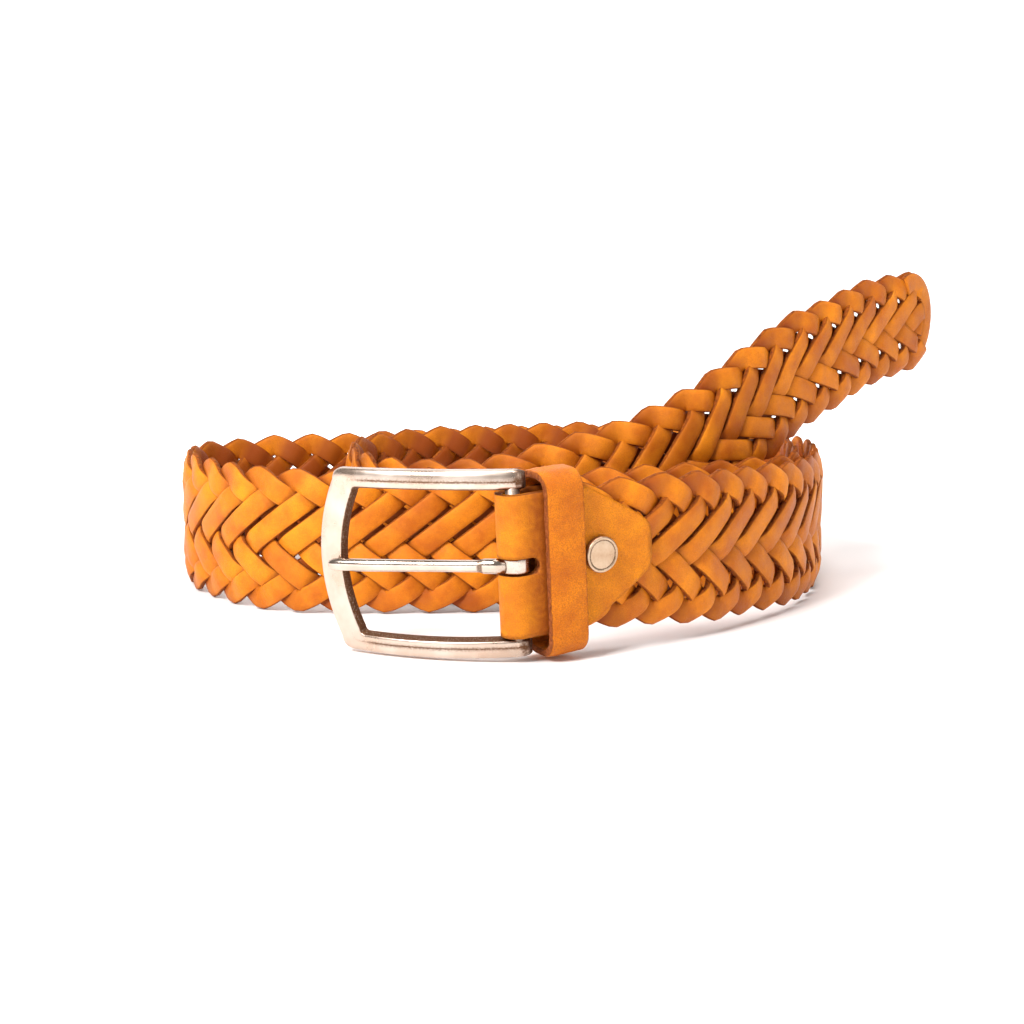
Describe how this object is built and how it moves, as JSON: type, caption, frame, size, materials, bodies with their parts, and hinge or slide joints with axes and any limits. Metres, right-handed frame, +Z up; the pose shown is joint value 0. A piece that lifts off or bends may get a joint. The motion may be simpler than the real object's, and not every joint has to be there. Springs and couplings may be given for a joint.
{
  "type": "braided leather belt",
  "caption": "Herringbone-braided tan leather belt, coiled on its edge, with a rectangular prong buckle, folded tab, keeper loop and snap stud.",
  "frame": {"origin": "middle of the foot of the coiled belt's bounding box, on the surface that it stands on", "axes": "+X right along the buckle's long side, +Y back from the buckle into the coil, +Z up across the strap's width"},
  "size_m": [0.2544, 0.2084, 0.0996],
  "materials": {
    "braid_leather": "vegetable-tanned strips, satin grain with raw cut edges",
    "tab_leather": "smooth vegetable-tanned grain",
    "keeper_leather": "smooth grain with raw cut edges",
    "stud_metal": "antique nickel",
    "frame_nickel": "satin antique nickel",
    "prong_nickel": "satin antique nickel"
  },
  "bodies": {
    "belt": {"braided_strap": "braid_leather", "buckle_tab": "tab_leather", "keeper_loop": "keeper_leather", "snap_stud": "stud_metal"},
    "buckle": {"buckle_frame": "frame_nickel"},
    "prong": {"buckle_prong": "prong_nickel"}
  },
  "joints": [
    {"name": "buckle_hinge", "type": "hinge", "parent": "belt", "child": "buckle", "pos_m": [-0.02007, -0.09659, 0.02663], "axis": [-0.0429, -0.0801, 0.9959], "range_deg": [-55, 65]},
    {"name": "prong_hinge", "type": "hinge", "parent": "buckle", "child": "prong", "pos_m": [-0.02007, -0.09659, 0.02663], "axis": [0.0429, 0.0801, -0.9959], "range_deg": [-80, 0]}
  ]
}
